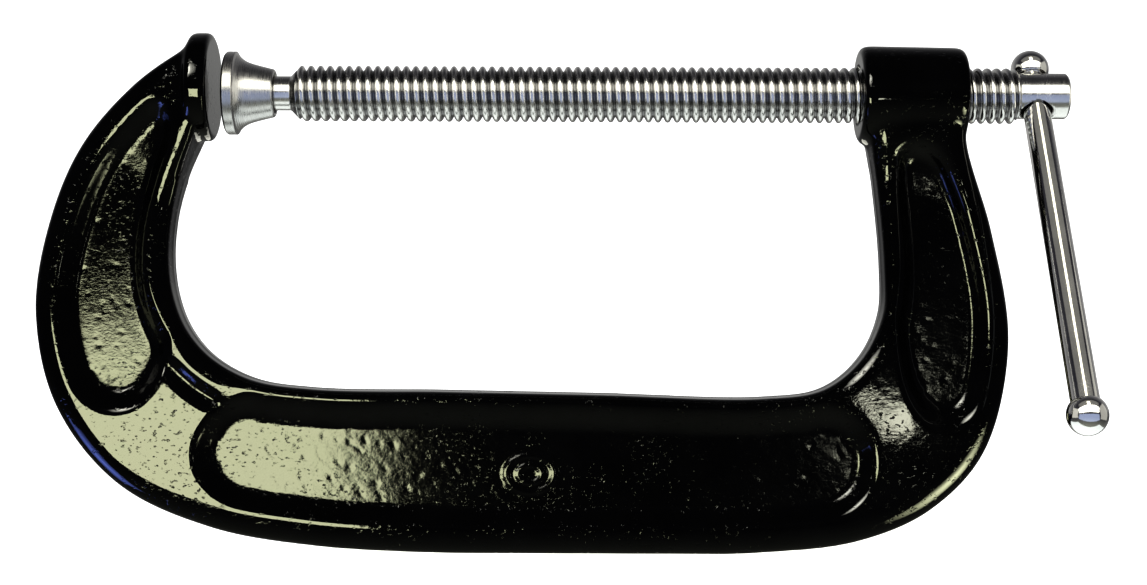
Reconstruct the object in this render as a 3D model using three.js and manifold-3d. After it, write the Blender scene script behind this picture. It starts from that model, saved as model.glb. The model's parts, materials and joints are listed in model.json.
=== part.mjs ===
// C clamp with a 6 inch opening: cast frame, screw, swivel pad with its retaining ring, and sliding handle.
// Millimetres, +Z up. The origin is on the screw axis at the anvil face. +X points along the screw,
// from the anvil towards the handle. Y = 0 is the parting plane of the casting.
import * as THREE from 'three';
import { mergeVertices } from 'three/addons/utils/BufferGeometryUtils.js';
import Module from 'manifold-3d';

const wasm = await Module();
wasm.setup();

// Frame: ribs across the C section, from the anvil round the spine to the boss.
// Each rib is [outer x, outer z, inner x, inner z].
const RIBS = [
  [-4.7, 12.2, -3.5, -11.3],
  [-20.1, 1.2, -7.3, -21.3],
  [-32.9, -12.9, -10.0, -32.7],
  [-41.6, -32.6, -10.8, -43.4],
  [-45.6, -57.5, -9.5, -53.5],
  [-40.1, -82.3, -6.2, -61.9],
  [-24.1, -102.4, 0.0, -69.3],
  [0.0, -113.7, 10.6, -75.1],
  [28.0, -118.6, 27.0, -77.6],
  [60.0, -120.3, 60.0, -78.1],
  [102.0, -120.7, 102.0, -78.8],
  [146.5, -119.8, 144.4, -79.6],
  [170.0, -116.7, 160.4, -77.1],
  [188.3, -108.5, 170.1, -69.2],
  [202.1, -93.4, 175.4, -57.5],
  [208.4, -65.4, 175.7, -44.2],
  [203.8, -35.6, 173.6, -22.5],
  [197.2, -14.0, 172.0, -12.0],
  [196.0, 0.0, 171.6, 0.0],
];
const SPINE_FOOT_Z = -120.4;
const CREST_HALF = 7.4;
const POCKET_DEPTH = 3.6;
// Widths across the section as [on the arms, on the spine].
const EDGE_OUTER = [5.2, 7.0];
const EDGE_INNER = [5.0, 1.8];
const SLOPE_OUTER = [6.2, 5.4];
const SLOPE_INNER = [5.5, 8.6];
const EDGE_DROP_OUTER = 3.6;
const EDGE_DROP_INNER = 2.2;
const ANVIL_FLARE = 3.4;
const BOSS_FLARE = 3.6;
const FLARE_LENGTH = 30;
// Pockets as [start, end] along the centre line of the section, measured from the anvil.
const POCKETS = [
  [7, 91.5],
  [107, 288],
  [301, 376],
];
const STATIONS = 90;
const CROSS_STEPS = 14;

const ANVIL_R = 14.2;
const ANVIL_THICKNESS = 6.0;
const ANVIL_CENTRE_Z = 1.5;
const ANVIL_EDGE = 1.4;

const BOSS_LEFT_X = 169.5;
const BOSS_RIGHT_X = 197.1;
const BOSS_LEFT_R = 13.0;
const BOSS_RIGHT_R = 12.6;
const BOSS_EDGE = 1.2;
const BORE_R = 7.4;
const BORE_CHAMFER = 0.8;

// Screw: 14.6 mm thread, 2.5 mm pitch. The solid keeps the thread's major diameter.
const THREAD_R = 7.3;
const THREAD_START_X = 20.4;
const THREAD_CHAMFER = 2.7;
const THREAD_END_X = 211.3;
const THREAD_END_CHAMFER = 0.6;
const NECK_R = 4.5;
const HEAD_R = 6.0;
const HEAD_END_X = 224.3;
const HEAD_CHAMFER = 0.6;
const HANDLE_X = 215.8;
const CROSS_HOLE_R = 4.0;
const CROSS_HOLE_CHAMFER = 0.5;

// Swivel pad, measured from its clamping face.
const JAW_GAP = 3.4;
const PAD_FLANGE_R = 10.9;
const PAD_FLANGE_LENGTH = 2.8;
const PAD_COLLAR_R = 6.3;
const PAD_LENGTH = 12.7;
const PAD_EDGE = 0.5;
// The cove between flange and collar: [x past the flange, r] at its start and at its two control points.
const COVE_START = [0.3, PAD_FLANGE_R - 0.7];
const COVE_PULL_FLANGE = [2.2, PAD_FLANGE_R - 3.0];
const COVE_PULL_COLLAR = [3.6, PAD_COLLAR_R + 1.5];
const BALL_R = 4.4;
const BALL_CENTRE = 5.8;
const SOCKET_R = 4.5;
const SOCKET_BORE_R = 4.75;
const SOCKET_STEP = 0.3;
const GROOVE_START = 8.6;
const GROOVE_END = 11.0;
const GROOVE_R = 5.4;
const MOUTH_INNER_R = 5.05;
const MOUTH_OUTER_R = 5.35;
const UNDERCUT_R = 3.0;
const UNDERCUT_END = 10.9;
const UNDERCUT_CHAMFER = 0.4;
const RING_X = 9.8;
const RING_R = 4.3;
const RING_WIRE_R = 0.6;
const RING_OPEN_ANGLE = 0.7;

// Handle: a bar with two ball ends, hanging at an angle towards -Y.
const HANDLE_SWING = THREE.MathUtils.degToRad(34);
const BAR_R = 3.5;
const BAR_CHAMFER = 0.5;
const BALL_END_R = 5.0;
const TOP_BALL_CENTRE = 9.2;
const BOTTOM_BALL_CENTRE = -97.0;
const BALL_MOUTH = 2.9;
const BALL_HOLE_R = 3.6;
const BALL_HOLE_PAST_CENTRE = 1.5;
const FIT_GAP = 0.3;

const TURNED_SIDES = 36;
const BAR_SIDES = 24;
// Points of a mesh closer than this are one point.
const MERGE_DISTANCE = 1e-4;

function material(color, roughness, metalness) {
  return new THREE.MeshStandardMaterial({ color, roughness, metalness });
}

const ENAMEL = material(0x0b0b0d, 0.18, 0.1);
const TURNED_STEEL = material(0xb4b6b4, 0.3, 1.0);
const SATIN_STEEL = material(0xa4a69f, 0.36, 1.0);
const CHROME = material(0xc9cbcc, 0.12, 1.0);
const SPRING_STEEL = material(0x777a7d, 0.4, 1.0);

// ---------- solids ----------

function toSolid(geometry) {
  const bare = geometry.clone();
  bare.deleteAttribute('normal');
  bare.deleteAttribute('uv');
  const merged = mergeVertices(bare, MERGE_DISTANCE);
  return new wasm.Manifold(new wasm.Mesh({
    numProp: 3,
    vertProperties: new Float32Array(merged.attributes.position.array),
    triVerts: new Uint32Array(merged.index.array),
  }));
}

function toGeometry(solid) {
  const mesh = solid.getMesh();
  const geometry = new THREE.BufferGeometry();
  geometry.setAttribute('position', new THREE.BufferAttribute(mesh.vertProperties, 3));
  geometry.setIndex(new THREE.BufferAttribute(mesh.triVerts, 1));
  geometry.computeVertexNormals();
  return geometry;
}

// A profile of [x, r] pairs turned about the X axis. It starts and ends on the axis.
function turned(profile, segments) {
  const points = profile.map(([x, r]) => new THREE.Vector2(r, x));
  return new THREE.LatheGeometry(points, segments).rotateZ(-Math.PI / 2);
}

function arcPoints(centreX, centreR, radius, fromAngle, toAngle, steps) {
  const points = [];
  for (let i = 0; i <= steps; i += 1) {
    const angle = fromAngle + (toAngle - fromAngle) * i / steps;
    points.push([centreX + radius * Math.cos(angle), centreR + radius * Math.sin(angle)]);
  }
  return points;
}

// ---------- frame ----------

const outerCurve = new THREE.CatmullRomCurve3(RIBS.map(([x, z]) => new THREE.Vector3(x, 0, z)));
const innerCurve = new THREE.CatmullRomCurve3(RIBS.map((rib) => new THREE.Vector3(rib[2], 0, rib[3])));

function sectionAt(s) {
  const outer = outerCurve.getPoint(s);
  const inner = innerCurve.getPoint(s);
  outer.z = Math.max(outer.z, SPINE_FOOT_Z);
  return { outer, inner, width: outer.distanceTo(inner) };
}

function middleAt(s) {
  const section = sectionAt(s);
  return section.outer.clone().add(section.inner).multiplyScalar(0.5);
}

function centreLineLengths() {
  const lengths = [0];
  for (let i = 1; i <= STATIONS; i += 1) {
    const step = middleAt(i / STATIONS).distanceTo(middleAt((i - 1) / STATIONS));
    lengths.push(lengths[i - 1] + step);
  }
  return lengths;
}

const LENGTHS = centreLineLengths();
const FRAME_LENGTH = LENGTHS[STATIONS];

// How much the outer edge faces down: 1 under the spine, 0 on the arms.
function downness(s) {
  const across = sectionAt(s);
  return THREE.MathUtils.clamp((across.inner.z - across.outer.z) / across.width, 0, 1);
}

function between([onArms, onSpine], s) {
  return THREE.MathUtils.lerp(onArms, onSpine, downness(s));
}

// 0 at the pocket's rim and outside it, 1 on its floor. The ends are round.
function pocketAt(s, length, fromOuterRim, fromInnerRim) {
  const halfWidth = (fromOuterRim + fromInnerRim) / 2;
  const across = fromOuterRim - halfWidth;
  const slope = between(across < 0 ? SLOPE_OUTER : SLOPE_INNER, s);
  let depth = 0;
  for (const [start, end] of POCKETS) {
    const fromEnd = Math.min(length - start, end - length);
    const overEnd = Math.max(0, halfWidth - fromEnd);
    const inside = halfWidth - Math.hypot(across, overEnd);
    const endSlope = THREE.MathUtils.lerp(slope, SLOPE_OUTER[0], Math.min(1, overEnd / halfWidth));
    depth = Math.max(depth, THREE.MathUtils.smoothstep(inside, 0, endSlope));
  }
  return depth;
}

function roundedEdge(distance, edge, drop) {
  const left = THREE.MathUtils.clamp(1 - distance / edge, 0, 1);
  return drop * (1 - Math.sqrt(1 - left * left));
}

function halfThickness(s, length, across, width) {
  const fromOuter = across * width;
  const fromInner = width - fromOuter;
  const edgeOuter = between(EDGE_OUTER, s);
  const edgeInner = between(EDGE_INNER, s);
  const nearAnvil = 1 - THREE.MathUtils.smoothstep(length, 0, FLARE_LENGTH);
  const nearBoss = 1 - THREE.MathUtils.smoothstep(FRAME_LENGTH - length, 0, FLARE_LENGTH);
  const crest = CREST_HALF + ANVIL_FLARE * nearAnvil + BOSS_FLARE * nearBoss;
  const edges = roundedEdge(fromOuter, edgeOuter, EDGE_DROP_OUTER)
    + roundedEdge(fromInner, edgeInner, EDGE_DROP_INNER);
  const pocket = pocketAt(s, length, fromOuter - edgeOuter, fromInner - edgeInner);
  return crest - edges - POCKET_DEPTH * pocket;
}

// The C section: a box whose grid is bent round the ribs and given the section's thickness.
function sectionBody() {
  const geometry = new THREE.BoxGeometry(1, 1, 1, STATIONS, CROSS_STEPS, 1);
  const position = geometry.attributes.position;
  for (let i = 0; i < position.count; i += 1) {
    const s = position.getX(i) + 0.5;
    const across = 0.5 - 0.5 * Math.cos(Math.PI * (position.getY(i) + 0.5));
    const section = sectionAt(s);
    const length = LENGTHS[Math.round(s * STATIONS)];
    const half = halfThickness(s, length, across, section.width);
    const point = section.outer.lerp(section.inner, across);
    position.setXYZ(i, point.x, position.getZ(i) > 0 ? -half : half, point.z);
  }
  return geometry;
}

function anvilDisc() {
  const back = arcPoints(-ANVIL_THICKNESS + ANVIL_EDGE, ANVIL_R - ANVIL_EDGE, ANVIL_EDGE, Math.PI, Math.PI / 2, 3);
  const front = arcPoints(-ANVIL_EDGE, ANVIL_R - ANVIL_EDGE, ANVIL_EDGE, Math.PI / 2, 0, 3);
  const profile = [[-ANVIL_THICKNESS, 0], ...back, ...front, [0, 0]];
  return turned(profile, TURNED_SIDES).translate(0, 0, ANVIL_CENTRE_Z);
}

function boss() {
  const left = arcPoints(BOSS_LEFT_X + BOSS_EDGE, BOSS_LEFT_R - BOSS_EDGE, BOSS_EDGE, Math.PI, Math.PI / 2, 3);
  const right = arcPoints(BOSS_RIGHT_X - BOSS_EDGE, BOSS_RIGHT_R - BOSS_EDGE, BOSS_EDGE, Math.PI / 2, 0, 3);
  return turned([[BOSS_LEFT_X, 0], ...left, ...right, [BOSS_RIGHT_X, 0]], TURNED_SIDES);
}

function bore() {
  const wide = BORE_R + BORE_CHAMFER + 1;
  return turned([
    [BOSS_LEFT_X - 1, 0],
    [BOSS_LEFT_X - 1, wide],
    [BOSS_LEFT_X + BORE_CHAMFER, BORE_R],
    [BOSS_RIGHT_X - BORE_CHAMFER, BORE_R],
    [BOSS_RIGHT_X + 1, wide],
    [BOSS_RIGHT_X + 1, 0],
  ], TURNED_SIDES);
}

function frameGeometry() {
  const casting = toSolid(sectionBody()).add(toSolid(anvilDisc())).add(toSolid(boss()));
  return toGeometry(casting.subtract(toSolid(bore())));
}

// ---------- screw ----------

function screwProfile() {
  const ballX = JAW_GAP + BALL_CENTRE;
  const ballEndAngle = Math.asin(UNDERCUT_R / BALL_R);
  const ball = arcPoints(ballX, 0, BALL_R, Math.PI, ballEndAngle, 8);
  ball[0][1] = 0;
  return [
    ...ball,
    [JAW_GAP + UNDERCUT_END - UNDERCUT_CHAMFER, UNDERCUT_R],
    [JAW_GAP + UNDERCUT_END, NECK_R],
    [THREAD_START_X, NECK_R],
    [THREAD_START_X + THREAD_CHAMFER, THREAD_R],
    [THREAD_END_X - THREAD_END_CHAMFER, THREAD_R],
    [THREAD_END_X, HEAD_R],
    [HEAD_END_X - HEAD_CHAMFER, HEAD_R],
    [HEAD_END_X, HEAD_R - HEAD_CHAMFER],
    [HEAD_END_X, 0],
  ];
}

// Turned along X, then stood up along the handle's line through the head.
function alongHandle(geometry) {
  return geometry.rotateY(-Math.PI / 2).rotateX(-HANDLE_SWING).translate(HANDLE_X, 0, 0);
}

function crossHole() {
  const flare = 3 * CROSS_HOLE_CHAMFER;
  const mouth = HEAD_R + CROSS_HOLE_CHAMFER;
  const narrowEnd = mouth - flare;
  return alongHandle(turned([
    [-mouth, 0],
    [-mouth, CROSS_HOLE_R + flare],
    [-narrowEnd, CROSS_HOLE_R],
    [narrowEnd, CROSS_HOLE_R],
    [mouth, CROSS_HOLE_R + flare],
    [mouth, 0],
  ], BAR_SIDES));
}

function screwGeometry() {
  return toGeometry(toSolid(turned(screwProfile(), TURNED_SIDES)).subtract(toSolid(crossHole())));
}

// ---------- swivel pad and its ring ----------

function padOuterProfile() {
  const pastFlange = ([x, r]) => new THREE.Vector2(PAD_FLANGE_LENGTH + x, r);
  const cove = new THREE.CubicBezierCurve(
    pastFlange(COVE_START),
    pastFlange(COVE_PULL_FLANGE),
    pastFlange(COVE_PULL_COLLAR),
    new THREE.Vector2(PAD_LENGTH, PAD_COLLAR_R),
  );
  return [
    [0, PAD_FLANGE_R - PAD_EDGE],
    [PAD_EDGE, PAD_FLANGE_R],
    [PAD_FLANGE_LENGTH, PAD_FLANGE_R],
    ...cove.getPoints(7).map((point) => [point.x, point.y]),
  ];
}

function padSocketProfile() {
  const socket = arcPoints(BALL_CENTRE, 0, SOCKET_R, Math.PI / 2, Math.PI, 5);
  socket[socket.length - 1][1] = 0;
  return [
    [PAD_LENGTH, MOUTH_OUTER_R],
    [GROOVE_END, MOUTH_INNER_R],
    [GROOVE_END, GROOVE_R],
    [GROOVE_START, GROOVE_R],
    [GROOVE_START, SOCKET_BORE_R],
    [BALL_CENTRE + SOCKET_STEP, SOCKET_BORE_R],
    ...socket,
  ];
}

function padGeometry() {
  const profile = [[0, 0], ...padOuterProfile(), ...padSocketProfile()];
  return turned(profile, TURNED_SIDES);
}

function retainingRingGeometry() {
  const arc = new THREE.EllipseCurve(0, 0, RING_R, RING_R, RING_OPEN_ANGLE / 2, 2 * Math.PI - RING_OPEN_ANGLE / 2);
  const path = new THREE.CatmullRomCurve3(arc.getPoints(16).map(({ x, y }) => new THREE.Vector3(0, x, y)));
  const wire = new THREE.Shape().absarc(0, 0, RING_WIRE_R, 0, 2 * Math.PI);
  return new THREE.ExtrudeGeometry(wire, { steps: 20, curveSegments: 4, extrudePath: path });
}

// ---------- handle: heights are measured along the bar from the screw axis, then stood in place ----------

function barGeometry() {
  const top = TOP_BALL_CENTRE + BALL_HOLE_PAST_CENTRE - FIT_GAP;
  const bottom = BOTTOM_BALL_CENTRE - BALL_HOLE_PAST_CENTRE + FIT_GAP;
  return alongHandle(turned([
    [bottom, 0],
    [bottom, BAR_R - BAR_CHAMFER],
    [bottom + BAR_CHAMFER, BAR_R],
    [top - BAR_CHAMFER, BAR_R],
    [top, BAR_R - BAR_CHAMFER],
    [top, 0],
  ], BAR_SIDES));
}

// A ball with a flat mouth and a blind hole for the bar. The mouth faces down the bar.
function ballEndProfile(centre) {
  const mouthAngle = Math.PI - Math.acos(BALL_MOUTH / BALL_END_R);
  const round = arcPoints(centre, 0, BALL_END_R, mouthAngle, 0, 10);
  const holeEnd = centre + BALL_HOLE_PAST_CENTRE;
  return [[holeEnd, 0], [holeEnd, BALL_HOLE_R], [centre - BALL_MOUTH, BALL_HOLE_R], ...round];
}

function topBallGeometry() {
  return alongHandle(turned(ballEndProfile(TOP_BALL_CENTRE), BAR_SIDES));
}

function bottomBallGeometry() {
  const upsideDown = ballEndProfile(-BOTTOM_BALL_CENTRE).map(([height, r]) => [-height, r]);
  return alongHandle(turned(upsideDown.reverse(), BAR_SIDES));
}

// ---------- assembly ----------

function part(name, geometry, look) {
  const mesh = new THREE.Mesh(geometry, look);
  mesh.name = name;
  return mesh;
}

function swivelPad() {
  const pad = new THREE.Group();
  pad.position.x = JAW_GAP;
  pad.add(part('swivel_pad', padGeometry(), SATIN_STEEL));
  const ring = part('pad_retaining_ring', retainingRingGeometry(), SPRING_STEEL);
  ring.position.x = RING_X;
  pad.add(ring);
  return pad;
}

function handle() {
  const group = new THREE.Group();
  group.add(part('handle_bar', barGeometry(), CHROME));
  group.add(part('handle_ball_top', topBallGeometry(), CHROME));
  group.add(part('handle_ball_bottom', bottomBallGeometry(), CHROME));
  return group;
}

const clamp = new THREE.Group();
clamp.add(part('frame', frameGeometry(), ENAMEL));
clamp.add(part('screw', screwGeometry(), TURNED_STEEL));
clamp.add(swivelPad());
clamp.add(handle());

export default clamp;
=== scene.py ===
import json
import math

import bpy
import numpy as np
from mathutils import Matrix, Vector, kdtree


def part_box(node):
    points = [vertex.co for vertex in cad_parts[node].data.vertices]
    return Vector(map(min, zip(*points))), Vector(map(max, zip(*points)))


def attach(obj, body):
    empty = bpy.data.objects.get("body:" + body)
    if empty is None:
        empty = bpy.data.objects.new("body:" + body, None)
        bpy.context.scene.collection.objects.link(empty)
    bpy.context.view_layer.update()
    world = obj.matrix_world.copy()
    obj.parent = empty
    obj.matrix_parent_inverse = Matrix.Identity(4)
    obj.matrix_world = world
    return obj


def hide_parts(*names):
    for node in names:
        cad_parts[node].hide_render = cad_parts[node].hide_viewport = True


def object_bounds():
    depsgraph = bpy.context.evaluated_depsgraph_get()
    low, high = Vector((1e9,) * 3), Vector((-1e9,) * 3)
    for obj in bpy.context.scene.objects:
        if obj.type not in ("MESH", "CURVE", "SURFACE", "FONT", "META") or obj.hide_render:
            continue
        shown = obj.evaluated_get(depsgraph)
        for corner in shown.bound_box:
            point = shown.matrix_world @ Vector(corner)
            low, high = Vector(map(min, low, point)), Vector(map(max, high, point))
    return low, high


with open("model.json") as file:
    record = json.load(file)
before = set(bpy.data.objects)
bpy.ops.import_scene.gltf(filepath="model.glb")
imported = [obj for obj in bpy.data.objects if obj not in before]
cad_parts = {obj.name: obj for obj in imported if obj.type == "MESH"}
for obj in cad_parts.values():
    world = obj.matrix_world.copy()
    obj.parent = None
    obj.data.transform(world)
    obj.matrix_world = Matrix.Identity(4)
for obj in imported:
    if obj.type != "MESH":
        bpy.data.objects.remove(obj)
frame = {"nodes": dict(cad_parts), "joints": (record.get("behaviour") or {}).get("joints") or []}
cad_low, cad_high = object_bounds()

MM = 0.001

# ---------- design sizes in millimetres in the CAD frame, with mesh steps and lamp colours ----------

# Frame: ribs across the C section, from the anvil round the spine to the boss.
# Each rib is [outer x, outer z, inner x, inner z].
RIBS = np.array([
    [-4.7, 12.2, -3.5, -11.3],
    [-20.1, 1.2, -7.3, -21.3],
    [-32.9, -12.9, -10.0, -32.7],
    [-41.6, -32.6, -10.8, -43.4],
    [-45.6, -57.5, -9.5, -53.5],
    [-40.1, -82.3, -6.2, -61.9],
    [-24.1, -102.4, 0.0, -69.3],
    [0.0, -113.7, 10.6, -75.1],
    [28.0, -118.6, 27.0, -77.6],
    [60.0, -120.3, 60.0, -78.1],
    [102.0, -120.7, 102.0, -78.8],
    [146.5, -119.8, 144.4, -79.6],
    [170.0, -116.7, 160.4, -77.1],
    [188.3, -108.5, 170.1, -69.2],
    [202.1, -93.4, 175.4, -57.5],
    [208.4, -65.4, 175.7, -44.2],
    [203.8, -35.6, 173.6, -22.5],
    [197.2, -14.0, 172.0, -12.0],
    [196.0, 0.0, 171.6, 0.0],
])
SPINE_FOOT_Z = -120.4
CREST_HALF = 7.4
POCKET_DEPTH = 3.6
# Widths across the section as [on the arms, on the spine].
EDGE_OUTER = (5.2, 7.0)
EDGE_INNER = (5.0, 1.8)
SLOPE_OUTER = (6.2, 5.4)
SLOPE_INNER = (5.5, 8.6)
EDGE_DROP_OUTER = 3.6
EDGE_DROP_INNER = 2.2
ANVIL_FLARE = 3.4
BOSS_FLARE = 3.6
FLARE_LENGTH = 30
# Where each pocket starts and ends, along the middle of the section.
POCKETS = ((7, 91.5), (107, 288), (301, 376))
# Between the pockets, at each corner, the inner rim is a wider bead. At the left corner a groove runs
# beside it.
CORNERS = (98.5, 294.5)
CORNER_HALF = 12.5
BEAD_EXTRA = 2.2
BEAD_POWER = 1.7
BEAD_GENTLE = 0.7
BEAD_ROUND = 0.3
GROOVE_FROM_INNER = 8.7
GROOVE_HALF = 3.0
GROOVE_DEEP = 1.4

ANVIL_R = 14.2
ANVIL_THICKNESS = 6.0
ANVIL_CENTRE_Z = 1.5
ANVIL_EDGE = 1.4
BOSS_LEFT_X = 169.5
BOSS_RIGHT_X = 197.1
BOSS_LEFT_R = 13.0
BOSS_RIGHT_R = 12.6
BOSS_EDGE = 1.6
EDGE_STEPS = 6
DRUM_SIDES = 120

# Casting skin.
VOXEL = 0.5
CURVE_STEPS = 4000
STATIONS = 760
CROSS_STEPS = 110
WALL_STEPS = 24
PARTING_HEIGHT = 0.16
PARTING_WIDTH = 0.9
WALL_DRAFT = 0.25
MARK_CENTRE = (83.7, -99.5)
MARK_HALF = (7.4, 5.6)
MARK_HEIGHT = 0.38
MARK_RINGS = (0.85, 0.42)
MARK_RING_HALF = 0.12
# Smoothing: first all over, then where the disc and the boss meet the section.
SMOOTH_WEIGHT = 0.5
SETTLE_ROUNDS = 3
BLEND_ROUNDS = 26
DISC_BLEND_X = -7.5
DISC_BLEND_HALF = 3.2
DISC_BLEND_REACH = 24
BOSS_BLEND_R = 14.5
BOSS_BLEND_HALF = 3.0
BOSS_BLEND_FROM_X = 160
LOOKUP_STEP = 2
# The layers of the cast skin as (height, size across, seed).
WAVES = (0.035, 15.0, 11)
PEEL_BROAD = (0.003, 2.8, 12)
PEEL_FINE = (0.001, 1.5, 13)
GRAIN_LONG = (0.013, 1.7, 14)
GRAIN_BROAD = (0.009, 3.1, 15)
PITS = (0.06, 1.5, 16)
PITS_ON_RIMS = 0.07
PITS_FROM = 0.30
PITS_FULL = 0.75
# The anvil's face is machined, so the cast skin fades out in front of it.
MACHINED_FROM_X = -1.2
MACHINED_FULL_X = -0.3

# Screw.
PITCH = 2.5
THREAD_R = 7.3
THREAD_ROOT_R = 5.95
THREAD_START_X = 20.4
THREAD_CHAMFER = 2.7
THREAD_END_X = 211.3
THREAD_STEPS = 16
# The part of a half turn that is rounded at the root, and the power that broadens the crest.
ROOT_ROUND = 0.2
CREST_POWER = 2.3
FIRST_TURN = 0.35
LAST_TURN = 0.1
SHOULDER = 0.3
RUN_OUT_SLOPE = 1.2
NECK_R = 4.5
HEAD_R = 6.0
HEAD_CHAMFER = 0.6
DIMPLE_R = 1.6
DIMPLE_FLOOR_R = 1.0
DIMPLE_WALL = 0.5
DIMPLE_DEPTH = 0.6
BALL_R = 4.4
BALL_CENTRE = 5.8
UNDERCUT_R = 3.0
UNDERCUT_END = 10.9
UNDERCUT_SLOPE = 0.4
CROSS_HOLE_R = 4.0
CROSS_HOLE_MOUTH = 0.9
CROSS_HOLE_FLARE = 3.6
CROSS_HOLE_REACH = 9
THREAD_FIT = 0.14
BORE_CHAMFER = 0.9
TAP_OVERRUN = 1
BAR_SIDES = 96
HOLE_SIDES = 72

# Swivel pad, measured from its clamping face.
PAD_FLANGE_R = 10.9
PAD_FLANGE_LENGTH = 2.8
PAD_COLLAR_R = 6.3
PAD_LENGTH = 12.7
FACE_RING = (2.2, 2.6, 3.2, 3.6)
FACE_RING_DEPTH = 0.12
SOCKET_R = 4.5
SOCKET_BORE_R = 4.75
PAD_SIDES = 144
TOOL_MARK_DEPTH = 0.012
TOOL_MARK_SPACING = 0.42
RING_GROOVE_START = 8.6
RING_GROOVE_END = 11.0
RING_GROOVE_R = 5.4
MOUTH_INNER_R = 5.05
MOUTH_OUTER_R = 5.35
RING_R = 4.3
RING_WIRE_R = 0.6
RING_OPEN_ANGLE = 0.7
RING_STATIONS = 97
RING_WIRE_SIDES = 16
RING_END_SCALE = 0.75

# Handle.
BAR_R = 3.5
BAR_CHAMFER = 0.5
BAR_WEAR = 0.006
BALL_END_R = 5.0
BALL_MOUTH = 2.9
BALL_HOLE_R = 3.6
BALL_HOLE_LIP = 0.22
BALL_HOLE_PAST_CENTRE = 1.5
BALL_TIP_ANGLE = 0.16

# Camera, and the colours of the lamps.
CAMERA_AT = (94.8, -510, -52.1)
CAMERA_LENS = 60.83
CAMERA_ROLL = 0.004
PALE = (1.0, 1.03, 0.69)
CREAM = (1.0, 1.01, 0.82)
HONEY = (1.0, 0.98, 0.78)
WARM = (1.0, 0.99, 0.88)
CLEAR = (0.93, 1.0, 1.0)
COOL = (0.62, 0.72, 1.0)
SKY = (0.26, 0.35, 1.0)
NARROW = math.radians(36)
SCREW_MIDDLE = (95, 0, 0)
HANDLE_MIDDLE = (216, -28, -50)


# ---------- noise ----------

NOISE_GAIN = 1.6


def lattice_noise(points, size, seed):
    """Smooth noise from about -1 to 1 at points, with features about size across."""
    rng = np.random.RandomState(seed)
    order = rng.permutation(256)
    slopes = rng.normal(size=(256, 3))
    slopes /= np.linalg.norm(slopes, axis=1)[:, None]
    cell = points / size
    corner = np.floor(cell).astype(int)
    part = cell - corner
    fade = part ** 3 * (part * (part * 6 - 15) + 10)
    total = np.zeros(len(points))
    for dx in (0, 1):
        for dy in (0, 1):
            for dz in (0, 1):
                at = corner + (dx, dy, dz)
                pick = order[(order[(order[at[:, 0] & 255] + at[:, 1]) & 255] + at[:, 2]) & 255]
                value = np.sum(slopes[pick] * (part - (dx, dy, dz)), axis=1)
                near = np.where([dx, dy, dz], fade, 1 - fade)
                total += value * near[:, 0] * near[:, 1] * near[:, 2]
    return total * NOISE_GAIN


def smoothstep(x, low, high):
    t = np.clip((x - low) / (high - low), 0, 1)
    return t * t * (3 - 2 * t)


# ---------- mesh building ----------

def new_object(name, points, faces):
    mesh = bpy.data.meshes.new(name)
    mesh.from_pydata(points.tolist(), [], faces)
    mesh.update()
    mesh.shade_smooth()
    obj = bpy.data.objects.new(name, mesh)
    bpy.context.scene.collection.objects.link(obj)
    return obj


def skin(name, rings, first, last):
    """A closed skin over rings of points in mm, with a fan to a point at each end."""
    count, around, _ = rings.shape
    points = np.vstack([rings.reshape(-1, 3), [first, last]]) * MM
    index = np.arange(count * around).reshape(count, around)
    here, there = index[:-1], index[1:]
    quads = np.stack([here, np.roll(here, -1, 1), np.roll(there, -1, 1), there], -1)
    start = index[0]
    end = index[-1]
    first_fan = [[count * around, b, a] for a, b in zip(start, np.roll(start, -1))]
    last_fan = [[count * around + 1, a, b] for a, b in zip(end, np.roll(end, -1))]
    return new_object(name, points, quads.reshape(-1, 4).tolist() + first_fan + last_fan)


def lathe(name, profile, sides, origin=(0, 0, 0), axis=(1, 0, 0), radius_at=None):
    """A profile of (distance, radius) turned about an axis, in mm. It starts and ends on the axis."""
    axis = np.array(axis, float)
    side = np.array((0, 1, 0)) if abs(axis[1]) < 0.9 else np.array((1, 0, 0))
    across = side - axis * (side @ axis)
    across /= np.linalg.norm(across)
    up = np.cross(axis, across)
    angles = np.linspace(0, 2 * math.pi, sides, endpoint=False)
    spokes = np.outer(np.cos(angles), across) + np.outer(np.sin(angles), up)
    profile = np.array(profile, float)
    inner = profile[1:-1]
    radii = np.repeat(inner[:, 1:2], sides, axis=1)
    if radius_at is not None:
        radii = radius_at(inner[:, 0][:, None] + 0 * radii, angles[None, :], radii)
    centres = np.array(origin) + inner[:, 0][:, None] * axis
    rings = centres[:, None, :] + radii[:, :, None] * spokes[None, :, :]
    first = np.array(origin) + profile[0, 0] * axis
    last = np.array(origin) + profile[-1, 0] * axis
    return skin(name, rings, first, last)


def fillet(profile, radius, steps=4, most=0.45):
    """Rounds each corner of a profile but its ends, over at most a part of each stretch beside it."""
    profile = [np.array(p, float) for p in profile]
    out = [profile[0]]
    for before, corner, after in zip(profile, profile[1:], profile[2:]):
        to_before, to_after = before - corner, after - corner
        reach = min(radius, most * np.linalg.norm(to_before), most * np.linalg.norm(to_after))
        start = corner + to_before / np.linalg.norm(to_before) * reach
        end = corner + to_after / np.linalg.norm(to_after) * reach
        for i in range(steps + 1):
            t = i / steps
            out.append((1 - t) ** 2 * start + 2 * t * (1 - t) * corner + t * t * end)
    out.append(profile[-1])
    return out


def subdivided(profile, longest):
    """Adds points so that no stretch of a profile is longer than given."""
    out = [profile[0]]
    for a, b in zip(profile, profile[1:]):
        parts = max(1, int(math.ceil(np.linalg.norm(np.subtract(b, a)) / longest)))
        for i in range(1, parts + 1):
            out.append(np.array(a) + (np.array(b) - np.array(a)) * i / parts)
    return out


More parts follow.
